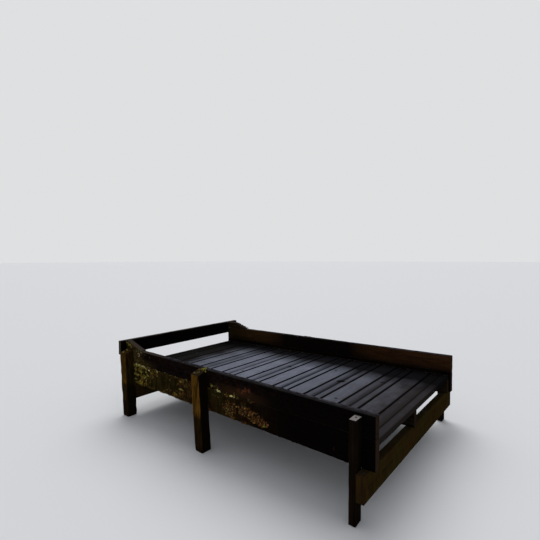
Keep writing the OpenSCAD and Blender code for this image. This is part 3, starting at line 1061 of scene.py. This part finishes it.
# %% [markdown]
# On top of the near kerb the lichen is sparse and small, and dead moss follows the sloping top of
# the far cheek down to its kerb.

# %% Lichen on the kerb and moss on the far cheek
KERB_TOP_MM = 637
TOP_CRUSTS = 22
# Start and reach along the kerb, and the limits across it
TOP_ALONG_MM = (-1000, 1500)
TOP_ACROSS_MM = (-842, -800)
CHEEK_SLOPE_MM = ((-1188, 712), (-1012, 650))
SLOPE_CUSHIONS = 70

for k in range(TOP_CRUSTS):
    x = TOP_ALONG_MM[0] + TOP_ALONG_MM[1] * random.random() ** 2
    at = Vector((x, uniform(*TOP_ACROSS_MM), KERB_TOP_MM)) * MM
    rosette(crusts, at, uniform(2, 4), UP)
crust_piece = add_piece("lichen_crusts", crusts, lichen_pale, smooth=True)

cheek_moss = bmesh.new()
for k in range(SLOPE_CUSHIONS):
    share = k / SLOPE_CUSHIONS
    x, z = [a + (b - a) * share for a, b in zip(*CHEEK_SLOPE_MM)]
    y = far_foot_mm(x) + uniform(2, 50)
    at = Vector((x, y, min(z - 1, CHEEK_TOP_MM - 6))) * MM
    cushion(cheek_moss, at, uniform(3, 8), 0.5)
add_piece("far_cheek_moss", cheek_moss, moss_dead, smooth=True)
print("lichen:", len(crust_piece.data.polygons), "faces")

# %% [markdown]
# The fixings are hot-dip galvanised steel that has rusted brown: a coach bolt with a round washer
# at the near cheek, and two nails wherever a board crosses a joist. A nail head is 9 mm wide and a
# little sunk. The larger nails in the stakes' tops have gone black.

# %% Weathered steel
FLAKE_MM = (9, 9)
FLAKE_RELIEF_MM = 0.5


def weathered_steel(name, dark, light):
    """Galvanised steel gone dull: two tones in flakes, rough, and hardly metallic any more."""
    material, tree, place = empty_material(name)
    flakes = cloud(tree, place, FLAKE_MM, 3, 0.65)
    body = stain(tree, linear(dark), light, (flakes, 0.4, 0.6))
    surface(tree, body, flakes, FLAKE_RELIEF_MM, {"Roughness": 0.8, "Metallic": 0.2}, strength=0.8)
    print("steel:", name)
    return material


rust = weathered_steel("rusted_steel", "#1c1512", "#3f2c20")
black_steel = weathered_steel("blackened_steel", "#0b0908", "#1a1310")
zinc = weathered_steel("dull_galvanised_steel", "#574431", "#9c8666")

# %% Bolts and nails
BOLT_MM = Vector((-1082, NEAR_FACE_MM, 598))
WASHER = dict(sides=24, radius_mm=19, height_mm=3, rim_mm=0.8)
BOLT_HEAD = dict(sides=12, radius_mm=11, height_mm=6, rim_mm=2.5)
DECK_NAIL = dict(sides=10, radius_mm=4.5, height_mm=1.4, rim_mm=0.5)
STAKE_NAIL = dict(sides=12, radius_mm=7, height_mm=2, rim_mm=0.8)
JOIST_LINES_MM = (-770, -100)
FAR_JOIST_INSIDE_MM = 23
NAIL_ROWS_MM = (28, 117)
NAIL_SUNK_MM = 0.4
HOLLOW_DEPTH_MM = 4
STAKE_NAILS_MM = ((1250, -879, 618), (1250, 896, 618))


def disc(shape, at, out, sides, radius_mm, height_mm, rim_mm):
    """A disc or a nut on a face: a short prism whose outer rim is bevelled."""
    turn = out.to_track_quat("Z", "Y").to_matrix().to_4x4()
    turn.translation = at + out * (height_mm / 2 - 0.3) * MM
    made = bmesh.ops.create_cone(shape, cap_ends=True, segments=sides, radius1=radius_mm * MM,
        radius2=radius_mm * MM, depth=height_mm * MM, matrix=turn)["verts"]
    top = [v for v in made if (v.co - turn.translation).dot(out) > 0]
    rim = list({e for v in top for e in v.link_edges if e.other_vert(v) in top})
    bmesh.ops.bevel(shape, geom=rim, offset=rim_mm * MM, affect="EDGES", segments=2, profile=0.5,
        material=-1)


washer = bmesh.new()
disc(washer, BOLT_MM * MM, NEAR_OUT, **WASHER)
add_piece("bolt_washer", washer, zinc)
bolt = bmesh.new()
disc(bolt, (BOLT_MM + NEAR_OUT * 2.3) * MM, NEAR_OUT, **BOLT_HEAD)
bolt_piece = add_piece("coach_bolt", bolt, rust)

nails = bmesh.new()
for board in range(len(BOARDS)):
    for across in NAIL_ROWS_MM:
        x = DECK_START_MM + board * PITCH_MM + across
        in_hollow = board % 2 == 0 and across == NAIL_ROWS_MM[0]
        z = DECK_TOP_MM - (HOLLOW_DEPTH_MM if in_hollow else NAIL_SUNK_MM)
        for y in (*JOIST_LINES_MM, far_foot_mm(x) - FAR_JOIST_INSIDE_MM):
            at = Vector((x + uniform(-6, 6), y + uniform(-8, 8), z)) * MM
            disc(nails, at, UP, **DECK_NAIL)
nail_piece = add_piece("deck_nails", nails, rust)
stake_nails = bmesh.new()
for at_mm in STAKE_NAILS_MM:
    disc(stake_nails, Vector(at_mm) * MM, UP, **STAKE_NAIL)
add_piece("stake_nails", stake_nails, black_steel)
print("bolts:", len(bolt_piece.data.polygons), "nails:", len(nail_piece.data.polygons), "faces")
